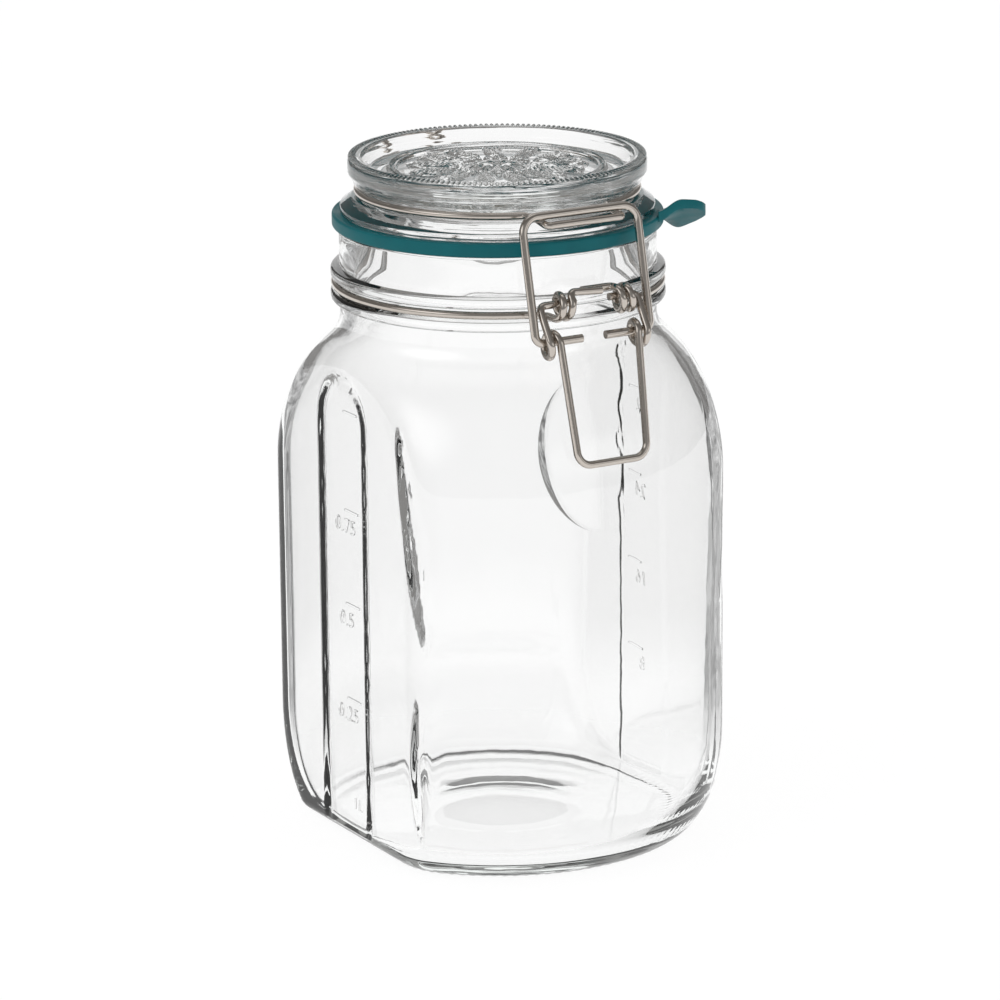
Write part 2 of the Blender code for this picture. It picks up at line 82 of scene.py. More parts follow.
def add_node(tree, kind, inputs=(), **settings):
    """A node with its settings. Each input is a value or another node's output."""
    made = tree.nodes.new(kind)
    for name, value in settings.items():
        setattr(made, name, value)
    for socket, value in dict(inputs).items():
        if isinstance(value, bpy.types.NodeSocket):
            tree.links.new(value, made.inputs[socket])
        else:
            made.inputs[socket].default_value = value
    return made


def mixed(tree, factor, first, second):
    """A colour mixed from two. Each is a colour or another node's output."""
    inputs = {"Factor": factor}
    for socket, colour in ((6, first), (7, second)):
        inputs[socket] = colour if isinstance(colour, bpy.types.NodeSocket) else (*colour, 1)
    return add_node(tree, "ShaderNodeMix", inputs, data_type="RGBA").outputs[2]


def ranged(tree, value, start, end, low, high, **settings):
    """A value taken from one range to another."""
    inputs = {"Value": value, "From Min": start, "From Max": end, "To Min": low, "To Max": high}
    return add_node(tree, "ShaderNodeMapRange", inputs, **settings).outputs[0]


def reckoned(tree, first, second, operation):
    return add_node(tree, "ShaderNodeMath", {0: first, 1: second}, operation=operation).outputs[0]


def own_place(tree):
    """The place of each point on its own object."""
    return add_node(tree, "ShaderNodeTexCoord").outputs["Object"]


world = bpy.data.worlds.new("studio")
scene.world = world
tree = node_tree(world)
path = add_node(tree, "ShaderNodeLightPath")
room = mixed(tree, path.outputs["Is Glossy Ray"], ROOM_IN_GLASS, ROOM_IN_GLOSS)
seen = mixed(tree, path.outputs["Is Camera Ray"], room, WHITE)
after_diffuse = reckoned(tree, path.outputs["Diffuse Depth"], 0.5, "GREATER_THAN")
whole = mixed(tree, after_diffuse, seen, AMBIENT)
sky = add_node(tree, "ShaderNodeBackground", {"Color": whole, "Strength": 1.0})
add_node(tree, "ShaderNodeOutputWorld", {"Surface": sky.outputs[0]})


def flat_sheet(name, half_width, half_height, level=0.0):
    """A flat sheet of the stage, made level."""
    bm = bmesh.new()
    bmesh.ops.create_grid(bm, x_segments=1, y_segments=1, size=1)
    bmesh.ops.scale(bm, verts=bm.verts, vec=(half_width, half_height, 1))
    bmesh.ops.translate(bm, verts=bm.verts, vec=(0, 0, level))
    mesh = bpy.data.meshes.new(name)
    bm.to_mesh(mesh)
    bm.free()
    made = bpy.data.objects.new(name, mesh)
    scene.collection.objects.link(made)
    return made


# The floor looks white to the camera. Beyond the jar's surroundings, rays that come through the
# glass pass it, so that the glass shows the room and not the floor's far end.
FLOOR_HALF = 4.0
FLOOR_LEVEL = -0.0001
FLOOR_TONE = (0.9, 0.9, 0.9, 1)
FLOOR_LIGHT = 1.04
FLOOR_GLOW = 0.9
FLOOR_KEPT = 0.075
FLOOR_GONE = 0.15
floor = flat_sheet("floor", FLOOR_HALF, FLOOR_HALF, FLOOR_LEVEL)
floor_look = bpy.data.materials.new("pale_floor")
tree = node_tree(floor_look)
path = add_node(tree, "ShaderNodeLightPath")
reach = add_node(tree, "ShaderNodeVectorMath", {0: own_place(tree)}, operation="LENGTH")
away = ranged(tree, reach.outputs["Value"], FLOOR_KEPT, FLOOR_GONE, 0.0, 1.0)
paper = add_node(tree, "ShaderNodeBsdfDiffuse", {"Color": FLOOR_TONE})
glow = add_node(tree, "ShaderNodeEmission", {"Color": (*WHITE, 1), "Strength": FLOOR_LIGHT})
sheet = add_node(tree, "ShaderNodeMixShader", {0: FLOOR_GLOW, 1: paper.outputs[0], 2: glow.outputs[0]})
through = add_node(tree, "ShaderNodeBsdfTransparent")
no_diffuse = reckoned(tree, path.outputs["Diffuse Depth"], 0.5, "LESS_THAN")
by_glass = reckoned(tree, path.outputs["Is Transmission Ray"], no_diffuse, "MULTIPLY")
pass_on = reckoned(tree, by_glass, away, "MULTIPLY")
surface = add_node(tree, "ShaderNodeMixShader", {0: pass_on, 1: sheet.outputs[0], 2: through.outputs[0]})
add_node(tree, "ShaderNodeOutputMaterial", {"Surface": surface.outputs[0]})
floor.data.materials.append(floor_look)

# Sizes, places and lights of the cards, seen from the camera: x to its right, y up, -z ahead.
JAR_AHEAD = Vector((0, 0, -1.38))
BACK_Z = JAR_AHEAD.z - 2.65
CLOTH_FOLDS = (7.0, 0.8, 1.0)
CLOTH_SCALE = 1.6
CLOTH_DARK = 0.38
CLOTH_LIGHT = 0.68


def turned_to_jar(made, place, front):
    """Hangs a card or a lamp on the camera at a place, with its front towards the jar."""
    made.parent = camera
    made.location = place
    made.rotation_mode = "QUATERNION"
    made.rotation_quaternion = (JAR_AHEAD - Vector(place)).to_track_quat(front, "Y")


def studio_card(name, middle, half_width, half_height, light, soft=0.0, streaks=None):
    """A card that stays beside the camera and faces the jar. Only glass and metal see it. A soft
    card fades out towards its edges, and streaks make a dark one as uneven as a draped cloth."""
    made = flat_sheet(name, half_width, half_height)
    look = bpy.data.materials.new(name)
    tree = node_tree(look)
    glow = add_node(tree, "ShaderNodeEmission", {"Color": (*WHITE, 1), "Strength": light})
    surface = glow
    if streaks:
        folds = add_node(tree, "ShaderNodeMapping", {"Vector": own_place(tree), "Scale": CLOTH_FOLDS})
        cloth = add_node(tree, "ShaderNodeTexNoise", {
            "Vector": folds.outputs[0], "Scale": CLOTH_SCALE, "Detail": 3.0})
        shade = ranged(tree, cloth.outputs[0], CLOTH_DARK, CLOTH_LIGHT, light, streaks)
        tree.links.new(shade, glow.inputs["Strength"])
    if soft:
        sized = add_node(tree, "ShaderNodeVectorMath", {
            0: own_place(tree), 1: (1 / half_width, 1 / half_height, 1)}, operation="MULTIPLY")
        reach = add_node(tree, "ShaderNodeVectorMath", {0: sized.outputs[0]}, operation="LENGTH")
        fade = ranged(tree, reach.outputs["Value"], 1 - soft, 1.0, 0.0, 1.0, interpolation_type="SMOOTHSTEP")
        gone = add_node(tree, "ShaderNodeBsdfTransparent")
        surface = add_node(tree, "ShaderNodeMixShader", {0: fade, 1: glow.outputs[0], 2: gone.outputs[0]})
    add_node(tree, "ShaderNodeOutputMaterial", {"Surface": surface.outputs[0]})
    made.data.materials.append(look)
    turned_to_jar(made, middle, "Z")
    made.visible_camera = False
    made.visible_diffuse = False
    made.visible_shadow = False


studio_card("back_card", (0, 0.5, BACK_Z), 0.84, 1.6, 1.01)
for side in (-1, 1):
    studio_card("dark_cloth", (side * 1.44, 0.0, BACK_Z), 0.60, 1.15, 0.10, streaks=0.65)
studio_card("dark_ceiling", (0.0, 2.6, JAR_AHEAD.z - 0.6), 1.6, 0.7, 0.45)
studio_card("dark_room", (0.0, 0.0, 1.2), 2.4, 2.0, 0.3)
studio_card("left_card", (-1.15, 0.55, -0.35), 0.75, 1.0, 1.5, soft=0.8)
studio_card("right_card", (1.25, 0.25, -0.55), 0.4, 1.1, 1.0, soft=0.8)
studio_card("high_card", (0.0, 1.5, -1.2), 1.0, 0.5, 1.0, soft=0.8)


def soft_lamp(name, place, size, power):
    """A lamp that gives the light for the paper, rubber and steel, and isn't mirrored itself."""
    lamp = bpy.data.lights.new(name, "AREA")
    lamp.shape = "RECTANGLE"
    lamp.size, lamp.size_y = size
    lamp.energy = power
    made = bpy.data.objects.new(name, lamp)
    scene.collection.objects.link(made)
    turned_to_jar(made, place, "-Z")
    made.visible_glossy = False
    made.visible_transmission = False


soft_lamp("key_lamp", (-0.9, 0.9, -0.5), (0.7, 0.9), 5)
soft_lamp("fill_lamp", (1.1, 0.3, -0.7), (0.5, 1.2), 3)


# The jar body is one piece of pressed clear glass with two flat sides. The mould leaves a grooved
# panel with a scale on each flat, hollows on the front corners, a thumb disc on the front, a punt
# under the floor and small ripples on the ring that it stands on.
body_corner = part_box("jar_body")[1]
BODY_RADIUS = body_corner.y
FLAT_HALF = body_corner.x
RIM_HEIGHT = body_corner.z
BODY_WALL = 0.0033
BODY_COLUMNS = 432
COLUMN_CROWD = 0.2
SMOOTH_ANGLE = math.radians(35)

FLAT_BLEND = 0.0040
BACK_FLAT_BLEND = 0.0014
BACK_BLEND_TOP = 0.118
FLAT_HEEL_INSET = 0.0058
FLAT_HEEL_HEIGHT = 0.0046
FLAT_HEEL_BOW = 1.12
FLAT_CORNER = math.acos(FLAT_HALF / BODY_RADIUS)

HEEL_INSET = 0.0125
HEEL_HEIGHT = 0.0315
BEARING_OUTER = BODY_RADIUS - HEEL_INSET
BEARING_INNER = BEARING_OUTER - 0.0080
BEARING_RISE = 0.0003
FLOOR_THICKNESS = 0.0050
FLOOR_INSET = 0.0115
FLOOR_RADIUS = BODY_RADIUS - BODY_WALL - FLOOR_INSET
PUNT_EDGE = 0.0270
PUNT_LEVEL = 0.0006
PUNT_HEIGHT = 0.0030
RIPPLES = 110
RIPPLE_RISE = 0.0002
RIPPLE_WIDTH = 0.003

SHOULDER_RADIUS = 0.0480
SHOULDER_CENTRE = BODY_RADIUS - SHOULDER_RADIUS
NECK_RADIUS = 0.0419
MOUTH_RADIUS = NECK_RADIUS - 0.0034
NECK_ROOT = RIM_HEIGHT - 0.0267
SHOULDER_START = NECK_ROOT - math.sqrt(SHOULDER_RADIUS**2 - (NECK_RADIUS - SHOULDER_CENTRE) ** 2)
NECK_FILLET = 0.0070
FILLET_R = NECK_RADIUS + NECK_FILLET
FILLET_OUT = FILLET_R - SHOULDER_CENTRE
FILLET_UP = math.sqrt((SHOULDER_RADIUS + NECK_FILLET) ** 2 - FILLET_OUT**2)
FILLET_Z = SHOULDER_START + FILLET_UP
FILLET_TURN = math.degrees(math.atan2(FILLET_UP, FILLET_OUT))
RIDGE_TOP = RIM_HEIGHT - 0.0106
RIDGE_RADIUS = NECK_RADIUS + 0.0024
RIDGE_WIDTH = 0.0030
RIDGE_ROUND = 0.0011
RIDGE_CREASE = 0.0002
GROOVE_WIDTH = 0.0030
RIM_ROUND = 0.0009


def arc(centre, radii, start, end, steps):
    """Points of an outline on an elliptical arc, from one angle to another in degrees."""
    turns = [math.radians(start + (end - start) * n / steps) for n in range(steps + 1)]
    return [(centre[0] + radii[0] * math.cos(t), centre[1] + radii[1] * math.sin(t)) for t in turns]


def straight(start, end, steps):
    """Points of an outline on a straight stretch, without its first one."""
    return [tuple(Vector(start).lerp(Vector(end), n / steps)) for n in range(1, steps + 1)]


def turned(outline, columns, inner_from=None):
    """A bmesh of an outline of (radius, height) points turned once round the jar's axis: an
    eighth is spun, and then repeated round the axis. Points from inner_from on are marked."""
    bm = bmesh.new()
    inner = bm.verts.layers.int.new("inner")
    points = [bm.verts.new((r, 0, z)) for r, z in outline]
    for point in points[inner_from or len(points):]:
        point[inner] = 1
    edges = [bm.edges.new(pair) for pair in zip(points, points[1:])]
    eighth = math.pi / 4
    bmesh.ops.spin(bm, geom=points + edges, axis=(0, 0, 1), angle=eighth, steps=columns // 8)
    bmesh.ops.remove_doubles(bm, verts=bm.verts, dist=1e-6)
    everything = bm.verts[:] + bm.edges[:] + bm.faces[:]
    bmesh.ops.spin(bm, geom=everything, axis=(0, 0, 1), angle=7 * eighth, steps=7, use_duplicate=True)
    bmesh.ops.remove_doubles(bm, verts=bm.verts, dist=1e-6)
    bmesh.ops.recalc_face_normals(bm, faces=bm.faces)
    return bm


def smoothed(share):
    """A share from 0 to 1, eased at both ends."""
    share = max(0.0, min(1.0, share))
    return share * share * (3 - 2 * share)


def made_mesh(name, bm):
    mesh = bpy.data.meshes.new(name)
    bm.to_mesh(mesh)
    bm.free()
    return mesh


def shaded(mesh):
    mesh.shade_smooth()
    mesh.set_sharp_from_angle(angle=SMOOTH_ANGLE)


def made_object(name, mesh, look):
    made = bpy.data.objects.new(name, mesh)
    scene.collection.objects.link(made)
    shaded(mesh)
    mesh.materials.clear()
    mesh.materials.append(look)
    return made


def made_tool(name, bm):
    """An object whose shape is welded to a piece by joined()."""
    tool = bpy.data.objects.new(name, made_mesh(name, bm))
    scene.collection.objects.link(tool)
    return tool


def mesh_of(holder):
    """The finished mesh of an object with its modifiers, or of a text or curve."""
    bpy.context.view_layer.update()
    return bpy.data.meshes.new_from_object(holder.evaluated_get(bpy.context.evaluated_depsgraph_get()))


def joined(piece, tool):
    """Welds a tool to a piece, as one closed mesh."""
    weld = piece.modifiers.new("weld", "BOOLEAN")
    weld.operation = "UNION"
    weld.solver = "MANIFOLD"
    weld.object = tool
    mesh = mesh_of(piece)
    piece.modifiers.clear()
    old = piece.data
    piece.data = mesh
    bpy.data.meshes.remove(old)
    bpy.data.objects.remove(tool)
    shaded(mesh)


def ridge(top):
    """The rounded outline of one ring round the neck, from its lower edge up."""
    bottom = top - RIDGE_WIDTH
    middle = RIDGE_RADIUS - RIDGE_ROUND
    outline = [(NECK_RADIUS, bottom - RIDGE_CREASE)]
    outline += arc((middle, bottom + RIDGE_ROUND), (RIDGE_ROUND, RIDGE_ROUND), -70, 0, 4)
    outline += arc((middle, top - RIDGE_ROUND), (RIDGE_ROUND, RIDGE_ROUND), 0, 70, 4)
    return outline + [(NECK_RADIUS, top + RIDGE_CREASE)]


def punt_rise(radius):
    """How far the floor is pushed up at a radius."""
    return PUNT_HEIGHT * (1 - min(1, radius / PUNT_EDGE) ** 2) ** 2


outside = [(r, PUNT_LEVEL + punt_rise(r)) for r in (PUNT_EDGE * n / 10 for n in range(11))]
outside += straight(outside[-1], (BEARING_INNER, BEARING_RISE), 3)
outside += straight(outside[-1], (BEARING_OUTER, 0), 7)
outside += arc((BEARING_OUTER, HEEL_HEIGHT), (HEEL_INSET, HEEL_HEIGHT), -86, 0, 24)
outside += straight((BODY_RADIUS, HEEL_HEIGHT), (BODY_RADIUS, SHOULDER_START), 42)
outside += arc((SHOULDER_CENTRE, SHOULDER_START), (SHOULDER_RADIUS,) * 2, 0, FILLET_TURN, 26)[1:]
outside += arc((FILLET_R, FILLET_Z), (NECK_FILLET,) * 2, 180 + FILLET_TURN, 180, 6)[1:]
outside += ridge(RIDGE_TOP - RIDGE_WIDTH - GROOVE_WIDTH)
outside += ridge(RIDGE_TOP)
outside += arc((NECK_RADIUS - RIM_ROUND, RIM_HEIGHT - RIM_ROUND), (RIM_ROUND,) * 2, 0, 90, 4)

inside = arc((MOUTH_RADIUS + RIM_ROUND, RIM_HEIGHT - RIM_ROUND), (RIM_ROUND,) * 2, 90, 180, 4)
inside += straight(inside[-1], (MOUTH_RADIUS, FILLET_Z + 0.0003), 4)
inner_fillet = (FILLET_R - MOUTH_RADIUS, NECK_FILLET + BODY_WALL)
inside += arc((FILLET_R, FILLET_Z), inner_fillet, 180, 180 + FILLET_TURN, 6)
inner_shoulder = (SHOULDER_RADIUS - BODY_WALL,) * 2
inside += arc((SHOULDER_CENTRE, SHOULDER_START), inner_shoulder, FILLET_TURN, 0, 16)[1:]
inside += straight(inside[-1], (BODY_RADIUS - BODY_WALL, HEEL_HEIGHT), 12)
inner_heel = (FLOOR_INSET, HEEL_HEIGHT - FLOOR_THICKNESS)
inside += arc((FLOOR_RADIUS, HEEL_HEIGHT), inner_heel, 0, -90, 16)[1:]
inside += straight(inside[-1], (PUNT_EDGE, FLOOR_THICKNESS), 3)
inner_punt = [PUNT_EDGE * n / 8 for n in range(7, -1, -1)]
inside += [(r, FLOOR_THICKNESS + 0.8 * punt_rise(r)) for r in inner_punt]
bm = turned(outside + inside, BODY_COLUMNS, len(outside))
inner_layer = bm.verts.layers.int["inner"]

# What the mould leaves on the walls. Each hollow on a corner has its bottom and top, half its
# width, where it starts beside the edge of the flat, and how far it leans over at its top.
PANEL_HALF = 0.0113
PANEL_ARCH = 0.1164
PANEL_GROOVE = 0.0024
PANEL_DEPTH = 0.0010
PANEL_BOTTOM = 0.004
FIELD_EDGE = 0.003
FAR_PANEL_GROOVE = 0.0012
FAR_PANEL_DEPTH = 0.0005
FAR_PANEL_FAINT = 0.3
FAR_PANEL_WANDER = 0.0036
FAR_PANEL_WANDER_FROM = 0.06
MARK_LEVEL = 0.00036
CORNER_HOLLOWS = ((0.064, 0.123, 0.0047, 0.0030, 0.0100), (0.010, 0.051, 0.0031, 0.0004, 0.0))
CORNER_DEPTH = 0.0013
WAVE_DEPTH = 0.00025
WAVE_COUNT = 42
WAVE_STRETCH = 0.35


def pressed(distance, limit, blend):
    """A distance held at a limit, rounded over where it comes near to it."""
    if distance < limit - blend:
        return distance
    if distance > limit + blend:
        return limit
    return limit - (limit + blend - distance) ** 2 / (4 * blend)


def flat_limit(height, wall):
    """How far out a flat side stands at a height. Its outside is cut in at the heel."""
    if wall or height > FLAT_HEEL_HEIGHT:
        return FLAT_HALF - wall
    share = 1 - max(0, height) / FLAT_HEEL_HEIGHT
    return FLAT_HALF - FLAT_HEEL_INSET * share**FLAT_HEEL_BOW


def hollow(distance, half):
    """The share of its depth that a rounded groove has at a distance from its middle line."""
    return max(0.0, 1 - (distance / half) ** 2) ** 2


def panel_groove(across, height, far):
    """The groove round the panel on a flat side, a tall field with a round top. On the flat with
    the ounces it is thinner, and its upper part wanders."""
    if height > PANEL_ARCH:
        distance = math.hypot(across, height - PANEL_ARCH) - PANEL_HALF
    else:
        distance = abs(across) - PANEL_HALF
    field = MARK_LEVEL * smoothed(0.5 - distance / FIELD_EDGE)
    if not far:
        uneven = 1 + 0.3 * noise.noise(Vector((across * 90, 0, height * 260)))
        return max(field, PANEL_DEPTH * uneven * hollow(distance, PANEL_GROOVE))
    wander = FAR_PANEL_WANDER * noise.noise(Vector((across * 20, 0, height * 150)))
    distance += wander * smoothed((height - FAR_PANEL_WANDER_FROM) / 0.03)
    depth = FAR_PANEL_DEPTH * (1.0 if across > 0 else FAR_PANEL_FAINT)
    return max(field, depth * hollow(distance, FAR_PANEL_GROOVE))


def corner_hollow(across, height):
    """The depth of the hollows on a front corner, at a way round from the edge of the flat."""
    depth = 0.0
    for bottom, top, half, start, lean in CORNER_HOLLOWS:
        share = (height - bottom) / (top - bottom)
        if 0 < share < 1:
            side = (across - start + lean * share**1.6) / (half * math.sin(math.pi * share) ** 0.7)
            streaks = 1 + 0.8 * noise.noise(Vector((side * 4, 0, height * 70)))
            depth += CORNER_DEPTH * streaks * hollow(side, 1) * math.sin(math.pi * share) ** 0.4
    return depth


def inner_wave(radius, angle, height):
    """How far the inner wall waves in and out. It is even near the floor and the neck."""
    spot = Vector((radius * math.cos(angle), radius * math.sin(angle), height * WAVE_STRETCH))
    fade = smoothed((NECK_ROOT - height) / 0.02) * smoothed((height - 0.010) / 0.015)
    return WAVE_DEPTH * fade * noise.noise(spot * WAVE_COUNT)


def ripple(radius, angle, y):
    """The rise of the ripples at the edge of the bearing ring, which end behind the middle."""
    edge = smoothed((radius - BEARING_OUTER + RIPPLE_WIDTH) / (RIPPLE_WIDTH / 2))
    return RIPPLE_RISE * (0.5 + 0.5 * math.cos(RIPPLES * angle)) * edge * smoothed(0.5 - y / 0.02)


for vert in bm.verts:
    inner = vert[inner_layer]
    x, y, z = vert.co
    radius = math.hypot(x, y)
    angle = math.atan2(y, x)
    angle -= COLUMN_CROWD * math.sin(2 * angle)
    if inner and z < NECK_ROOT and radius > PUNT_EDGE:
        radius += inner_wave(radius, angle, z)
    x, y = radius * math.cos(angle), radius * math.sin(angle)
    if z < NECK_ROOT:
        sharp = smoothed((BACK_BLEND_TOP - z) / 0.02) if not inner and x < 0 < y else 0
        blend = FLAT_BLEND + (BACK_FLAT_BLEND - FLAT_BLEND) * sharp
        flat = pressed(abs(x), flat_limit(z, BODY_WALL if inner else 0), blend)
        if not inner and flat > FLAT_HALF - FLAT_BLEND:
            flat -= panel_groove(y, z, x > 0) * smoothed((z - PANEL_BOTTOM) / 0.005)
        x = math.copysign(flat, x)
        if not inner and y < 0:
            depth = corner_hollow((math.atan2(-y, abs(x)) - FLAT_CORNER) * BODY_RADIUS, z)
            x -= depth * x / radius
            y -= depth * y / radius
    if not inner and z < 0.0012 and radius > BEARING_OUTER - RIPPLE_WIDTH:
        z += ripple(radius, angle, y)
    vert.co = (x, y, z)


def skin_group():
    """The slightly uneven skin of glass, steel and rubber: its height, and the normal it gives."""
    group = bpy.data.node_groups.new("uneven_skin", "ShaderNodeTree")
    for name in ("Scale", "Detail", "Roughness", "Strength", "Distance"):
        group.interface.new_socket(name, in_out="INPUT", socket_type="NodeSocketFloat")
    group.interface.new_socket("Height", in_out="OUTPUT", socket_type="NodeSocketFloat")
    group.interface.new_socket("Normal", in_out="OUTPUT", socket_type="NodeSocketVector")
    given = add_node(group, "NodeGroupInput").outputs
    skin = add_node(group, "ShaderNodeTexNoise", {
        "Vector": own_place(group), "Scale": given["Scale"], "Detail": given["Detail"],
        "Roughness": given["Roughness"]})
    bump = add_node(group, "ShaderNodeBump", {
        "Height": skin.outputs[0], "Strength": given["Strength"], "Distance": given["Distance"]})
    add_node(group, "NodeGroupOutput", {"Height": skin.outputs[0], "Normal": bump.outputs[0]})
    return group


uneven_skin = skin_group()


def skin_of(tree, scale, detail, strength, distance, roughness=0.5):
    return add_node(tree, "ShaderNodeGroup", {
        "Scale": scale, "Detail": detail, "Roughness": roughness, "Strength": strength,
        "Distance": distance}, node_tree=uneven_skin)


def glass_look(name, streaks_from):
    """Pressed soda-lime glass: clear, faintly green in depth, its skin slightly uneven, with
    level mould streaks above a height."""
    look = bpy.data.materials.new(name)
    tree = node_tree(look)
    skin = skin_of(tree, 95.0, 1.5, 0.06, 0.001, roughness=0.4)
    place = own_place(tree)
    level = add_node(tree, "ShaderNodeMapping", {"Vector": place, "Scale": (26.0, 26.0, 850.0)})
    mould = add_node(tree, "ShaderNodeTexNoise", {"Vector": level.outputs[0], "Scale": 1.0, "Detail": 2.0})
    height = add_node(tree, "ShaderNodeSeparateXYZ", {0: place})
    above = ranged(tree, height.outputs["Z"], streaks_from, streaks_from + 0.004, 0.0, 0.22)
    bands = add_node(tree, "ShaderNodeBump", {
        "Height": mould.outputs[0], "Strength": above, "Distance": 0.001,
        "Normal": skin.outputs["Normal"]})
    shader = add_node(tree, "ShaderNodeBsdfPrincipled", {
        "Base Color": (*WHITE, 1), "Metallic": 0.0, "Roughness": 0.0, "IOR": 1.5,
        "Transmission Weight": 1.0, "Normal": bands.outputs[0]})
    depth = add_node(tree, "ShaderNodeVolumeAbsorption", {"Color": (0.78, 0.86, 0.82, 1), "Density": 4.0})
    add_node(tree, "ShaderNodeOutputMaterial", {"Surface": shader.outputs[0], "Volume": depth.outputs[0]})
    return look


clear_glass = glass_look("clear_glass", RIM_HEIGHT)
glass_body = made_object("glass_body", made_mesh("glass_body", bm), clear_glass)

# The scales: plain raised numerals, each with a tick above it, on both flats.
LITRES = (("0.25", 0.0418), ("0.5", 0.0680), ("0.75", 0.0936), ("", 0.1203))
OUNCES = (("8", 0.0404), ("16", 0.0649), ("24", 0.0894), ("32", 0.1139))
MARK_RISE = 0.00035
MARK_SINK = 0.0004
MARK_DEPTH = MARK_RISE + MARK_SINK
TICK_LENGTH = 0.0072
TICK_WIDTH = 0.00055
TICK_SHIFT = 0.0040
NUMERAL_SIZE = 0.0058
NUMERAL_SHIFT = 0.0006
NUMERAL_DROP = 0.0062
UNIT_SIZE = 0.0046
UNIT_PLACE = (-0.005, 0.0115)


def add_raised_text(marks, words, size, place, side):
    """Adds raised numerals on a flat side. They reach a little way into the glass."""
    letters = bpy.data.curves.new(words, "FONT")
    letters.body = words
    letters.size = size
    letters.align_x = "CENTER"
    letters.offset = -size * 0.018
    letters.extrude = MARK_DEPTH / 2
    letters.space_character = 1.12
    letters.resolution_u = 3
    holder = bpy.data.objects.new(words, letters)
    scene.collection.objects.link(holder)
    mesh = mesh_of(holder)
    bpy.data.objects.remove(holder)
    turn = Matrix.Rotation(math.radians(90 * side), 4, "Z") @ Matrix.Rotation(math.pi / 2, 4, "X")
    mesh.transform(Matrix.Translation(place) @ turn)
    marks.from_mesh(mesh)
    bpy.data.meshes.remove(mesh)


marks = bmesh.new()
for side, scale_marks in ((-1, LITRES), (1, OUNCES)):
    middle = side * (FLAT_HALF - MARK_LEVEL + (MARK_RISE - MARK_SINK) / 2)
    for word, height in scale_marks:
        tick = bmesh.ops.create_cube(marks, size=1)["verts"]
        bmesh.ops.scale(marks, verts=tick, vec=(MARK_DEPTH, TICK_LENGTH, TICK_WIDTH))
        bmesh.ops.translate(marks, verts=tick, vec=(middle, side * TICK_SHIFT, height))
        if word:
            place = (middle, side * NUMERAL_SHIFT, height - NUMERAL_DROP)
            add_raised_text(marks, word, NUMERAL_SIZE, place, side)
middle = MARK_LEVEL - FLAT_HALF - (MARK_RISE - MARK_SINK) / 2
add_raised_text(marks, "1L", UNIT_SIZE, (middle, *UNIT_PLACE), -1)
bmesh.ops.remove_doubles(marks, verts=marks.verts, dist=1e-6)
bmesh.ops.recalc_face_normals(marks, faces=marks.faces)
joined(glass_body, made_tool("marks_tool", marks))

# The thumb disc on the front is a low round field whose left side stands proud.
THUMB_RADIUS = 0.0200
THUMB_HEIGHT = 0.1145
THUMB_CURVE = 7.2
THUMB_EDGE = 0.0021
THUMB_SINK = 0.0015
THUMB_FLUSH = 0.00006
rings = [THUMB_RADIUS * n / 8 for n in range(8)]
outline = [(r, 1) for r in rings]
outline += arc((THUMB_RADIUS - THUMB_EDGE, 0), (THUMB_EDGE, 1), 90, 0, 8)
outline += [(THUMB_RADIUS, -1)] + [(r, -1) for r in reversed(rings)]
bm = turned(outline, 128)
for vert in bm.verts:
    x, z, level = vert.co + Vector((0, THUMB_HEIGHT, 0))
    up = max(0, z - SHOULDER_START)
    radius = SHOULDER_CENTRE + math.sqrt(SHOULDER_RADIUS**2 - up**2)
    reach = math.sqrt(radius**2 - x**2)
    rise = THUMB_CURVE * min(0, x) ** 2
    reach += rise * level - THUMB_FLUSH if level >= 0 else -THUMB_SINK
    vert.co = (x, -reach, z)
bmesh.ops.recalc_face_normals(bm, faces=bm.faces)
joined(glass_body, made_tool("thumb_tool", bm))
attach(glass_body, "jar")
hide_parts("jar_body")


# The neck band is one length of drawn steel wire. It lies in the groove under the neck's top
# ring, is coiled into two eyes at the front where its cut ends lap, and rises to a bar at the
# back, which the lid's coils turn on.
WIRE = 0.0010
GAP = 0.0003
COIL_PITCH = 2 * WIRE + 0.0007
COIL_STEP = math.radians(9)
RING_STEP = math.radians(2)
BEND_STEPS = 10
WIRE_SIDES = 5
SHORTEST_STRETCH = 0.00002
BAND_RADIUS = NECK_RADIUS + GAP + WIRE
BAND_HEIGHT = RIDGE_TOP - RIDGE_WIDTH - GROOVE_WIDTH / 2
BAND_BEND = 0.0014
EYE_RADIUS = 0.00305
EYE_REACH = BAND_RADIUS + 0.0048
EYE_HEIGHT = BAND_HEIGHT + EYE_RADIUS
EYE_OUTER_X = 0.0110
EYE_LEAD = 0.0034
EYE_LEAD_ANGLE = math.radians(21)
LAP_END = 0.0022
LAP_BACK = 0.0017
LAP_RISE = 0.0006
LAP_PLAY = 0.0007
LAP_TURN = math.radians(45)
GASKET_OUTER = NECK_RADIUS + 0.0018
HINGE_OUT = 0.0068
HINGE_MARGIN = 0.0037
LID_COIL_X = 0.0088
HINGE_HALF = LID_COIL_X + HINGE_MARGIN
HINGE_FOOT = BAND_RADIUS + 0.0058
HINGE_FOOT_ANGLE = math.radians(19)
HINGE_BEND = 0.0018
HINGE_AXIS = Vector((0, GASKET_OUTER + HINGE_OUT, RIM_HEIGHT - 0.0002))


def ring_point(angle, radius, height):
    """A point on a circle round the jar, its angle turned from the front towards +X."""
    return Vector((radius * math.sin(angle), -radius * math.cos(angle), height))


def ring_arc(radius, height, start, end):
    steps = round((end - start) / RING_STEP)
    return [ring_point(start + (end - start) * n / steps, radius, height) for n in range(steps + 1)]


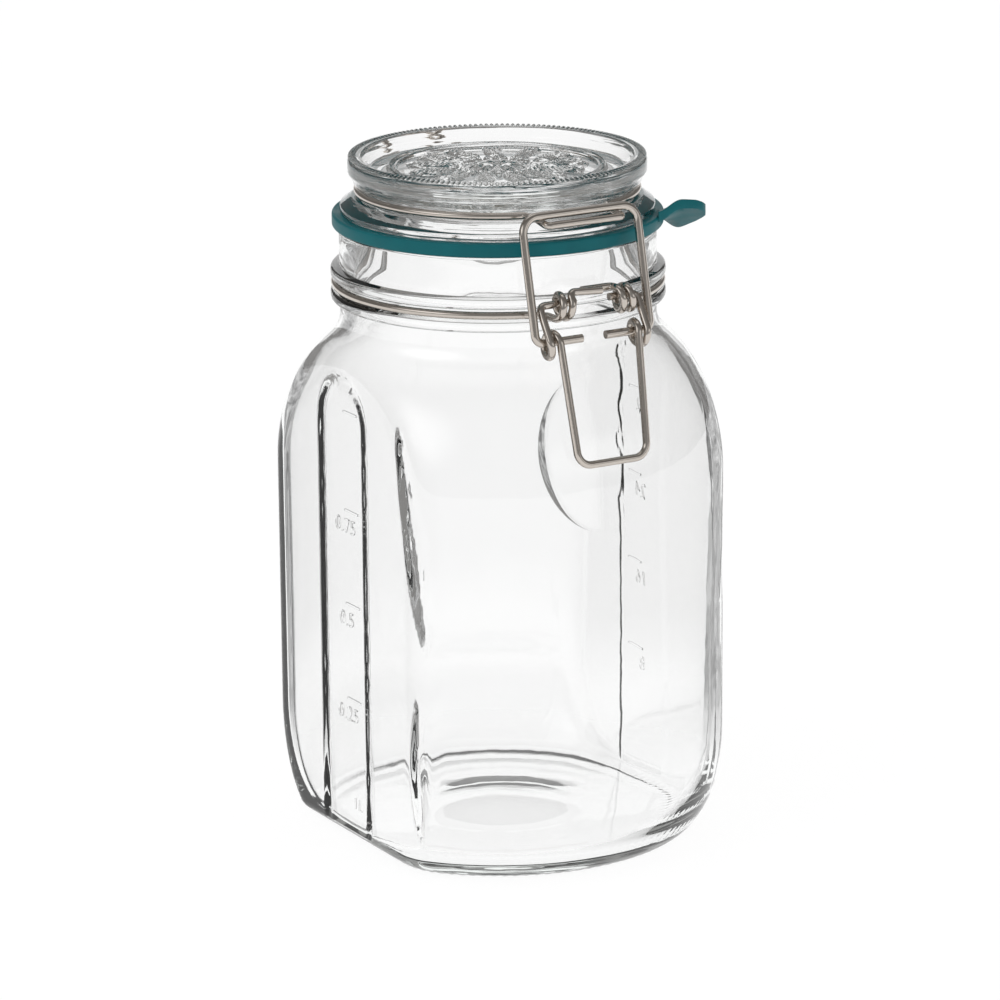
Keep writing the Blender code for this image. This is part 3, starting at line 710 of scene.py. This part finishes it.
def coil(centre, radius, outward, turns, xs):
    """Points of a coil round a line along X, from one turn and x to another. The turn is zero
    where the coil lies furthest from the jar, which is towards -Y where outward is -1."""
    steps = max(2, round(abs(turns[1] - turns[0]) / COIL_STEP))
    points = []
    for n in range(steps + 1):
        turn = turns[0] + (turns[1] - turns[0]) * n / steps
        x = xs[0] + (xs[1] - xs[0]) * n / steps
        y = centre.y + outward * radius * math.cos(turn)
        points.append(Vector((x, y, centre.z + radius * math.sin(turn))))
    return points


def tangent_turn(centre, radius, outward, place, swing):
    """The turn at which a straight wire from a place meets a coil, on one side of the place."""
    out = outward * (place.y - centre.y)
    up = place.z - centre.z
    return math.atan2(up, out) + swing * math.acos(radius / math.hypot(out, up))


def bent(points, bends):
    """A path of straight stretches, each corner bent to its radius."""
    path = [points[0]]
    for before, corner, after, bend in zip(points, points[1:], points[2:], bends):
        a = (before - corner).normalized()
        b = (after - corner).normalized()
        half = a.angle(b) / 2
        middle = corner + (a + b).normalized() * bend / math.sin(half)
        start = corner + a * bend / math.tan(half) - middle
        end = corner + b * bend / math.tan(half) - middle
        turn = start.angle(end)
        for n in range(BEND_STEPS + 1):
            share = n / BEND_STEPS
            mix = start * math.sin((1 - share) * turn) + end * math.sin(share * turn)
            path.append(middle + mix / math.sin(turn))
    return path + [points[-1]]


def mirrored(path):
    return [Vector((-p.x, p.y, p.z)) for p in reversed(path)]


def mottle_group():
    """Two tones of one colour in soft clouds, for steel and rubber."""
    group = bpy.data.node_groups.new("soft_mottle", "ShaderNodeTree")
    for name in ("Scale", "Detail"):
        group.interface.new_socket(name, in_out="INPUT", socket_type="NodeSocketFloat")
    for name in ("First", "Second"):
        group.interface.new_socket(name, in_out="INPUT", socket_type="NodeSocketColor")
    group.interface.new_socket("Colour", in_out="OUTPUT", socket_type="NodeSocketColor")
    group.interface.new_socket("Clouds", in_out="OUTPUT", socket_type="NodeSocketFloat")
    given = add_node(group, "NodeGroupInput").outputs
    clouds = add_node(group, "ShaderNodeTexNoise", {
        "Vector": own_place(group), "Scale": given["Scale"], "Detail": given["Detail"]}).outputs[0]
    colour = mixed(group, clouds, given["First"], given["Second"])
    add_node(group, "NodeGroupOutput", {"Colour": colour, "Clouds": clouds})
    return group


soft_mottle = mottle_group()


def mottle_of(tree, scale, detail, first, second):
    return add_node(tree, "ShaderNodeGroup", {
        "Scale": scale, "Detail": detail, "First": (*first, 1), "Second": (*second, 1)},
        node_tree=soft_mottle)


def steel_look(name):
    """Bright drawn steel wire: a warm grey, with faint handling marks."""
    look = bpy.data.materials.new(name)
    tree = node_tree(look)
    tone = mottle_of(tree, 160.0, 3.0, (0.50, 0.455, 0.41), (0.62, 0.57, 0.52))
    drawn = skin_of(tree, 1500.0, 3.0, 0.03, 0.0001)
    rough = ranged(tree, drawn.outputs["Height"], 0.3, 0.7, 0.12, 0.20)
    shader = add_node(tree, "ShaderNodeBsdfPrincipled", {
        "Base Color": tone.outputs["Colour"], "Metallic": 1.0, "Roughness": rough,
        "Normal": drawn.outputs["Normal"]})
    add_node(tree, "ShaderNodeOutputMaterial", {"Surface": shader.outputs[0]})
    return look


steel_wire = steel_look("steel_wire")


def wire_piece(name, path, radius):
    """A wire bent along a path, as a mesh with its cut ends closed."""
    curve = bpy.data.curves.new(name, "CURVE")
    curve.dimensions = "3D"
    curve.bevel_depth = radius
    curve.bevel_resolution = WIRE_SIDES
    curve.use_fill_caps = True
    spline = curve.splines.new("POLY")
    clean = [path[0]]
    for place in path[1:]:
        if (place - clean[-1]).length > SHORTEST_STRETCH:
            clean.append(place)
    spline.points.add(len(clean) - 1)
    for point, place in zip(spline.points, clean):
        point.co = (*place, 1)
    holder = bpy.data.objects.new(name + "_path", curve)
    scene.collection.objects.link(holder)
    mesh = mesh_of(holder)
    bpy.data.objects.remove(holder)
    bm = bmesh.new()
    bm.from_mesh(mesh)
    bmesh.ops.remove_doubles(bm, verts=bm.verts, dist=1e-6)
    bmesh.ops.recalc_face_normals(bm, faces=bm.faces)
    bm.to_mesh(mesh)
    bm.free()
    return made_object(name, mesh, steel_wire)


def neck_band_half(in_front):
    """The right half of the neck band, from its cut end to the middle of the hinge bar. One half
    is built with its cut end in front of the other's."""
    centre = Vector((0, -EYE_REACH, EYE_HEIGHT))
    below = -math.pi / 2
    turn = 3 * math.pi - (LAP_TURN if in_front else 0)
    inner_x = EYE_OUTER_X - COIL_PITCH * turn / (2 * math.pi)
    eye = coil(centre, EYE_RADIUS, -1, (below, below + turn), (EYE_OUTER_X, inner_x))
    top = EYE_HEIGHT + EYE_RADIUS
    lap_y = centre.y + LAP_BACK
    if in_front:
        corner = Vector((inner_x, lap_y - 2 * WIRE - LAP_PLAY, top + LAP_RISE))
    else:
        corner = Vector((inner_x, lap_y, top))
    cut = Vector((-LAP_END, corner.y, top))
    path = bent([cut, corner, eye[-1]], [BAND_BEND]) + eye[-2:0:-1]
    ring = ring_arc(BAND_RADIUS, BAND_HEIGHT, EYE_LEAD_ANGLE, math.pi - HINGE_FOOT_ANGLE)
    turn_in = Vector((EYE_OUTER_X, centre.y + EYE_LEAD, BAND_HEIGHT))
    path += bent([eye[0], turn_in, ring[0], ring[2]], [BAND_BEND] * 2) + ring[3:-3]
    foot = Vector((HINGE_HALF, HINGE_FOOT, BAND_HEIGHT))
    bar_end = Vector((HINGE_HALF, HINGE_AXIS.y, HINGE_AXIS.z))
    return path + bent([ring[-3], ring[-1], foot, bar_end, HINGE_AXIS], [HINGE_BEND] * 3)


neck_wire = wire_piece("neck_wire", neck_band_half(False) + mirrored(neck_band_half(True))[1:], WIRE)
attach(neck_wire, "jar")
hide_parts("neck_band")


# The lid is one piece of pressed clear glass. Its plug drops into the mouth, its flange rests on
# the rubber, its waist holds a wire, and its rim has a ring of small beads on top. The sunken
# middle carries a raised wreath inside a double ring.
LID_COLUMNS = 560
LID_SEAT = RIM_HEIGHT + 0.0036
LID_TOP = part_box("lid")[1].z
LID_PLUG_RADIUS = MOUTH_RADIUS - 0.0032
LID_PLUG_INNER = LID_PLUG_RADIUS - 0.0040
LID_PLUG_BOTTOM = LID_SEAT - 0.0056
LID_FLANGE_RADIUS = GASKET_OUTER - 0.0022
LID_FLANGE_SHOULDER = LID_FLANGE_RADIUS - 0.0027
LID_FLANGE_TOP = LID_SEAT + 0.0044
LID_WAIST_RADIUS = LID_FLANGE_SHOULDER - 0.0032
LID_WAIST_TOP = LID_FLANGE_TOP + 0.0030
LID_RIM_RADIUS = LID_WAIST_RADIUS + 0.0038
LID_RIM_BOTTOM = LID_WAIST_TOP + 0.0026
LID_RIM_INNER = LID_RIM_RADIUS - 0.0056
LID_RECESS = LID_TOP - 0.0040
LID_CEILING = LID_RECESS - 0.0052
LID_CREST = LID_TOP - 0.0004
LID_CREST_INNER = LID_RIM_RADIUS - 0.0036
LID_ROUND = 0.0009
FLANGE_ROUND = 0.0008
WAIST_ROUND = 0.0006
WREATH_FIELD = 0.0296
WREATH_RISE = 0.0011
WREATH_RADIUS = 0.0284
WREATH_GAP = 0.0016
ROSETTE_RADIUS = 0.0078
PETALS = 9
BEAD_RING = 0.0098
BEADS = 26
LEAVES = 13
# Each kind of leaf has its lean, its shift round the ring, where it starts, its length and width.
WREATH_LEAVES = ((0.5, 0.0, 0.0115, 0.0125, 0.0026), (-0.55, 0.5, 0.0165, 0.0085, 0.0019))

outline = [(0, LID_RECESS)]
outline += straight(outline[-1], (WREATH_FIELD - 0.0004, LID_RECESS), 66)
outline += straight(outline[-1], (LID_RIM_INNER - 0.0008, LID_RECESS), 2)
outline += [(LID_RIM_INNER - 0.0002, LID_RECESS + 0.0002), (LID_RIM_INNER, LID_RECESS + 0.0006)]
crest = (LID_CREST_INNER + LID_ROUND, LID_CREST - LID_ROUND)
outline += arc(crest, (LID_ROUND,) * 2, 165, 90, 4)
outline += arc((LID_RIM_RADIUS - 0.0015, LID_CREST - 0.0015), (0.0015,) * 2, 90, 0, 7)
outline += straight(outline[-1], (LID_RIM_RADIUS, LID_RIM_BOTTOM + 0.0010), 2)
outline += arc((LID_RIM_RADIUS - 0.0010, LID_RIM_BOTTOM + 0.0010), (0.0010,) * 2, 0, -60, 4)[1:]
outline += [(LID_RIM_RADIUS - 0.0014, LID_WAIST_TOP + 0.0006), (LID_RIM_RADIUS - 0.0022, LID_WAIST_TOP)]
outline += [(LID_WAIST_RADIUS + 0.0005, LID_WAIST_TOP - 0.0001), (LID_WAIST_RADIUS, LID_WAIST_TOP - 0.0006)]
waist = (LID_WAIST_RADIUS + WAIST_ROUND, LID_FLANGE_TOP + WAIST_ROUND)
outline += arc(waist, (WAIST_ROUND,) * 2, 180, 270, 3)
shoulder = (LID_FLANGE_SHOULDER - FLANGE_ROUND, LID_FLANGE_TOP - FLANGE_ROUND)
outline += arc(shoulder, (FLANGE_ROUND,) * 2, 90, 35, 4)
outline += arc((LID_FLANGE_RADIUS - LID_ROUND, LID_SEAT + 0.0016), (LID_ROUND,) * 2, 35, 0, 4)
outline += [(LID_FLANGE_RADIUS, LID_SEAT + 0.0006), (LID_FLANGE_RADIUS - 0.0005, LID_SEAT)]
outline += [(LID_PLUG_RADIUS + 0.0002, LID_SEAT), (LID_PLUG_RADIUS, LID_SEAT - 0.0002)]
plug_end = LID_PLUG_BOTTOM + LID_ROUND
outline += arc((LID_PLUG_RADIUS - LID_ROUND, plug_end), (LID_ROUND,) * 2, 0, -90, 5)
outline += arc((LID_PLUG_INNER + LID_ROUND, plug_end), (LID_ROUND,) * 2, -90, -180, 5)
outline += arc((LID_PLUG_INNER - 0.0024, LID_CEILING - 0.0024), (0.0020, 0.0024), 0, 90, 6)
outline += straight(outline[-1], (0, LID_CEILING), 3)
bm = turned(outline, LID_COLUMNS)


def leaf_height(along, across, length, width):
    """A leaf's height at a point along its rib and across it, and 0 beside the leaf."""
    share = along / length
    if not 0 < share < 1:
        return 0.0
    half = width * math.sin(math.pi * share**0.8)
    side = abs(across) / max(half, 1e-6)
    if side >= 1:
        return 0.0
    veins = 0.12 * math.cos(2 * math.pi * (along - abs(across) * 0.9) / 0.0014)
    return (1 - side**2) ** 0.7 * (0.78 + veins) + 0.25 * max(0, 1 - side * 5)


def ring_height(radius, middle, half):
    return max(0, 1 - ((radius - middle) / half) ** 2)


def wreath_height(radius, angle):
    """The raised wreath on the lid: a rosette, a ring of beads, slanting leaves, a double ring."""
    height = ring_height(radius, WREATH_RADIUS, 0.0006)
    height = max(height, 0.8 * ring_height(radius, WREATH_RADIUS - WREATH_GAP, 0.0005))
    if radius < ROSETTE_RADIUS:
        petals = 0.5 + 0.5 * math.cos(PETALS * angle)
        height = max(height, petals**0.5 * math.sin(math.pi * radius / ROSETTE_RADIUS) ** 0.6)
        height = max(height, 1.1 * ring_height(radius, 0, 0.0019))
    step = 2 * math.pi / BEADS
    near = (angle / step - math.floor(angle / step) - 0.5) * step * radius
    bead = 1 - (near**2 + (radius - BEAD_RING) ** 2) / 0.0009**2
    height = max(height, 0.9 * max(0, bead) ** 0.5)
    step = 2 * math.pi / LEAVES
    for lean, shift, root, tip, width in WREATH_LEAVES:
        index = round(angle / step - shift)
        for leaf in (index - 1, index, index + 1):
            middle = (leaf + shift) * step
            px = radius * math.cos(angle - middle) - root
            py = radius * math.sin(angle - middle)
            along = px * math.cos(lean) + py * math.sin(lean)
            bow = 0.09 * along * math.sin(along / tip * 3)
            across = -px * math.sin(lean) + py * math.cos(lean) + bow
            height = max(height, leaf_height(along, across, tip, width))
    return height


for vert in bm.verts:
    x, y, z = vert.co
    radius = math.hypot(x, y)
    if abs(z - LID_RECESS) < 1e-5 and radius < WREATH_FIELD:
        vert.co.z += WREATH_RISE * wreath_height(radius, math.atan2(y, x))
glass_lid = made_object("glass_lid", made_mesh("glass_lid", bm), clear_glass)

RIM_BEADS = 168
RIM_BEAD_SIZE = (0.0012, 0.00052, 0.00055)
RIM_BEAD_PLACE = (LID_RIM_RADIUS - 0.0013, 0, LID_TOP - 0.00056)
beads = bmesh.new()
for n in range(RIM_BEADS):
    bead = bmesh.ops.create_uvsphere(beads, u_segments=10, v_segments=6, radius=1)["verts"]
    bmesh.ops.scale(beads, verts=bead, vec=RIM_BEAD_SIZE)
    bmesh.ops.translate(beads, verts=bead, vec=RIM_BEAD_PLACE)
    bmesh.ops.rotate(beads, verts=bead, matrix=Matrix.Rotation(2 * math.pi * n / RIM_BEADS, 3, "Z"))
joined(glass_lid, made_tool("beads_tool", beads))
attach(glass_lid, "lid")
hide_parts("lid")


# The gasket is a moulded ring of teal rubber between the jar's rim and the lid's flange, pressed
# on the glass by the clasp, with a tongue to pull it by. The tongue droops to one side.
GASKET_BOTTOM = RIM_HEIGHT + 0.00002
GASKET_TOP = LID_SEAT + 0.00003
GASKET_INNER = LID_PLUG_RADIUS - 0.00003
GASKET_ROUND = 0.0007
GASKET_COLUMNS = 240
TAB_ANGLE = math.radians(59)
TAB_ROOT = 0.0015
TAB_TIP = 0.0110
TAB_RISE = 0.0012
TAB_DROOP = math.radians(30)
TAB_ROOT_DROOP = 0.3
TAB_HALF_WIDTHS = ((0, 0.0118), (0.25, 0.0098), (0.55, 0.0080), (0.8, 0.0058), (0.94, 0.0034), (1, 0.0014))
TAB_THICKNESS = (0.0030, 0.0026)
TAB_RINGS = 25
TAB_SIDES = 24

rubber_look = bpy.data.materials.new("teal_rubber")
tree = node_tree(rubber_look)
bloom = mottle_of(tree, 130.0, 5.0, (0.001, 0.082, 0.096), (0.003, 0.128, 0.145))
rough = ranged(tree, bloom.outputs["Clouds"], 0.3, 0.7, 0.38, 0.55)
moulded = skin_of(tree, 2200.0, 2.0, 0.15, 0.0001)
shader = add_node(tree, "ShaderNodeBsdfPrincipled", {
    "Base Color": bloom.outputs["Colour"], "Roughness": rough, "Specular IOR Level": 0.18,
    "Normal": moulded.outputs["Normal"]})
add_node(tree, "ShaderNodeOutputMaterial", {"Surface": shader.outputs[0]})

outline = []
for radius, height, start in (
        (GASKET_INNER + GASKET_ROUND, GASKET_BOTTOM + GASKET_ROUND, 180),
        (GASKET_OUTER - GASKET_ROUND, GASKET_BOTTOM + GASKET_ROUND, 270),
        (GASKET_OUTER - GASKET_ROUND, GASKET_TOP - GASKET_ROUND, 0),
        (GASKET_INNER + GASKET_ROUND, GASKET_TOP - GASKET_ROUND, 90)):
    outline += arc((radius, height), (GASKET_ROUND,) * 2, start, start + 90, 4)
bm = turned(outline + outline[:1], GASKET_COLUMNS)
rubber_ring = made_object("rubber_ring", made_mesh("rubber_ring", bm), rubber_look)


def tab_half_width(share):
    """Half the tab's width at a share of the way from its root to its tip."""
    for (a, wide_a), (b, wide_b) in zip(TAB_HALF_WIDTHS, TAB_HALF_WIDTHS[1:]):
        if share <= b:
            return wide_a + (wide_b - wide_a) * (share - a) / (b - a)
    return TAB_HALF_WIDTHS[-1][1]


def tab_ring(bm, share):
    """The edges of one flat, round-cornered ring round the tab."""
    out = Vector((math.sin(TAB_ANGLE), -math.cos(TAB_ANGLE), 0))
    along = Vector((math.cos(TAB_ANGLE), math.sin(TAB_ANGLE), 0))
    centre = out * (GASKET_OUTER - TAB_ROOT + (TAB_ROOT + TAB_TIP) * share)
    centre.z = (GASKET_BOTTOM + GASKET_TOP) / 2 + TAB_RISE * smoothed((share - 0.25) / 0.75)
    half = tab_half_width(share)
    thick = (TAB_THICKNESS[0] + (TAB_THICKNESS[1] - TAB_THICKNESS[0]) * smoothed(share)) / 2
    droop = TAB_DROOP * (TAB_ROOT_DROOP + (1 - TAB_ROOT_DROOP) * smoothed(share / 0.5))
    tilted = along * math.cos(droop) - Vector((0, 0, math.sin(droop)))
    lift = tilted.cross(out)
    lift = lift if lift.z > 0 else -lift
    ring = []
    for k in range(TAB_SIDES):
        turn = 2 * math.pi * k / TAB_SIDES
        c, s = math.cos(turn), math.sin(turn)
        wide = half - thick + thick * abs(c) ** 0.5 if abs(c) > 0.3 else (half - thick) * abs(c) / 0.3 * 0.98
        high = thick * math.copysign(abs(s) ** 0.6, s)
        ring.append(bm.verts.new(centre + tilted * math.copysign(wide, c) + lift * high))
    return [bm.edges.new((ring[k - 1], ring[k])) for k in range(TAB_SIDES)]


bm = bmesh.new()
last = tab_ring(bm, 0)
for n in range(1, TAB_RINGS):
    edges = tab_ring(bm, n / (TAB_RINGS - 1))
    bmesh.ops.bridge_loops(bm, edges=last + edges)
    last = edges
bmesh.ops.holes_fill(bm, edges=bm.edges)
bmesh.ops.recalc_face_normals(bm, faces=bm.faces)
joined(rubber_ring, made_tool("tab_tool", bm))
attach(rubber_ring, "lid")
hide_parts("gasket")


# The lid band is one length of the same wire round the lid's waist. Its front is bent out into a
# nose for the clasp, and its ends are coiled round the neck band's bar.
LID_BAND_RADIUS = LID_WAIST_RADIUS + GAP + WIRE
LID_BAND_HEIGHT = LID_FLANGE_TOP + 0.0015
LID_BAND_BEND = 0.0014
NOSE_HALF = 0.0113
NOSE_REACH = LID_FLANGE_RADIUS + 0.0034
NOSE_DROP = 0.0010
NOSE_HEIGHT = LID_BAND_HEIGHT - NOSE_DROP
NOSE_ANGLE = math.radians(19.5)
LID_ARM_REACH = GASKET_OUTER + HINGE_OUT + 0.0005
LID_ARM_RISE = 0.0006
LID_ARM_ANGLE = math.radians(16)
LID_COIL_TAIL = math.radians(20)

middle = Vector((0, -NOSE_REACH, NOSE_HEIGHT))
nose = Vector((NOSE_HALF, -NOSE_REACH, NOSE_HEIGHT))
prong = Vector((NOSE_HALF, -LID_FLANGE_SHOULDER, LID_BAND_HEIGHT))
ring = ring_arc(LID_BAND_RADIUS, LID_BAND_HEIGHT, NOSE_ANGLE, math.pi - LID_ARM_ANGLE)
half = bent([middle, nose, prong, ring[0], ring[2]], [LID_BAND_BEND] * 3) + ring[3:-3]
arm = Vector((LID_COIL_X, LID_ARM_REACH, LID_BAND_HEIGHT + LID_ARM_RISE))
coil_radius = 2 * WIRE + GAP
start = tangent_turn(HINGE_AXIS, coil_radius, 1, arm, -1)
end = start - 2 * math.pi - LID_COIL_TAIL
inner_x = LID_COIL_X - COIL_PITCH * (start - end) / (2 * math.pi)
wrap = coil(HINGE_AXIS, coil_radius, 1, (start, end), (LID_COIL_X, inner_x))
half += bent([ring[-3], ring[-1], arm, wrap[0]], [LID_BAND_BEND] * 2) + wrap[1:]
lid_wire = wire_piece("lid_wire", mirrored(half)[:-1] + half, WIRE)
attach(lid_wire, "lid")
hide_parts("lid_band")


# The clasp is two bent wires. The lever hooks into the neck band's eyes, is coiled once on each
# side and runs down to a bar for the thumb. The closing loop's pins turn in those coils, and its
# top bar sits over the lid band's nose.
BAIL_WIRE = 0.0011
CLASP_SHIFT = 0.0012
HOOK_HALF = EYE_OUTER_X + 2 * WIRE + GAP + CLASP_SHIFT
BAIL_HALF = HOOK_HALF + WIRE + BAIL_WIRE + 0.0005
LEVER_COIL_RADIUS = 0.00305
LEVER_PIVOT = Vector((0, -EYE_REACH, EYE_HEIGHT + EYE_RADIUS - 2 * WIRE - GAP))
BAIL_PIVOT = Vector((-CLASP_SHIFT, -EYE_REACH - 0.0028, LEVER_PIVOT.z - 0.0091))
BAIL_SEAT = 0.0012
BAIL_PIN = 0.0035
BAIL_BENDS = (0.0022, 0.0045, 0.0045, 0.0022)
HOOK_END = 0.0050
HOOK_BEND = 0.0016
PIN_PLAY = LEVER_COIL_RADIUS - WIRE - BAIL_WIRE - GAP
FOOT_HEIGHT = RIM_HEIGHT - 0.0514
FOOT_PLAY = 0.0005
FOOT_WALL = SHOULDER_CENTRE + math.sqrt(SHOULDER_RADIUS**2 - (FOOT_HEIGHT - SHOULDER_START) ** 2)
FOOT_REACH = FOOT_WALL + WIRE + FOOT_PLAY
FOOT_HALF = Vector((0.0102, 0, 0))
FOOT_BEND = 0.0038
foot = Vector((-0.0010, -FOOT_REACH, FOOT_HEIGHT))


def lever_side(side):
    """One side of the lever, from its hook in the neck band's eye to the end of its coil."""
    centre = BAIL_PIVOT - Vector((0, 0, PIN_PLAY))
    end = LEVER_PIVOT + Vector((side * HOOK_END, 0, 0))
    hook = LEVER_PIVOT + Vector((centre.x + side * HOOK_HALF, 0, 0))
    start_turn = tangent_turn(centre, LEVER_COIL_RADIUS, -1, hook, -1)
    end_turn = tangent_turn(centre, LEVER_COIL_RADIUS, -1, foot, 1) - 2 * math.pi
    width = COIL_PITCH * (start_turn - end_turn) / (2 * math.pi)
    xs = [centre.x + side * HOOK_HALF, centre.x + side * (HOOK_HALF - width)]
    wrap = coil(centre, LEVER_COIL_RADIUS, -1, (start_turn, end_turn), xs)
    return bent([end, hook, wrap[0]], [HOOK_BEND]) + wrap[1:]


left = lever_side(-1)
right = lever_side(1)
grip = bent([left[-1], foot - FOOT_HALF, foot + FOOT_HALF, right[-1]], [FOOT_BEND] * 2)
clasp_lever = wire_piece("clasp_lever", left + grip[1:-1] + right[::-1], WIRE)
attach(clasp_lever, "lever")
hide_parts("lever")

slope = NOSE_DROP / (NOSE_REACH - LID_FLANGE_SHOULDER)
seat = NOSE_HEIGHT + BAIL_SEAT * slope + WIRE + BAIL_WIRE + GAP
bar = Vector((BAIL_PIVOT.x, BAIL_SEAT - NOSE_REACH, seat))
half = Vector((BAIL_HALF, 0, 0))
pin = Vector((BAIL_PIN, 0, 0))
corners = [BAIL_PIVOT - pin, BAIL_PIVOT - half, bar - half, bar + half, BAIL_PIVOT + half, BAIL_PIVOT + pin]
closing_loop = wire_piece("closing_loop", bent(corners, BAIL_BENDS), BAIL_WIRE)
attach(closing_loop, "bail")
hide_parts("bail")


# Light passes many walls of glass before it leaves the jar, so the picture follows many bounces.
scene.view_settings.view_transform = "Standard"
scene.cycles.max_bounces = 28
scene.cycles.transmission_bounces = 26
scene.cycles.glossy_bounces = 10
bpy.context.view_layer.update()
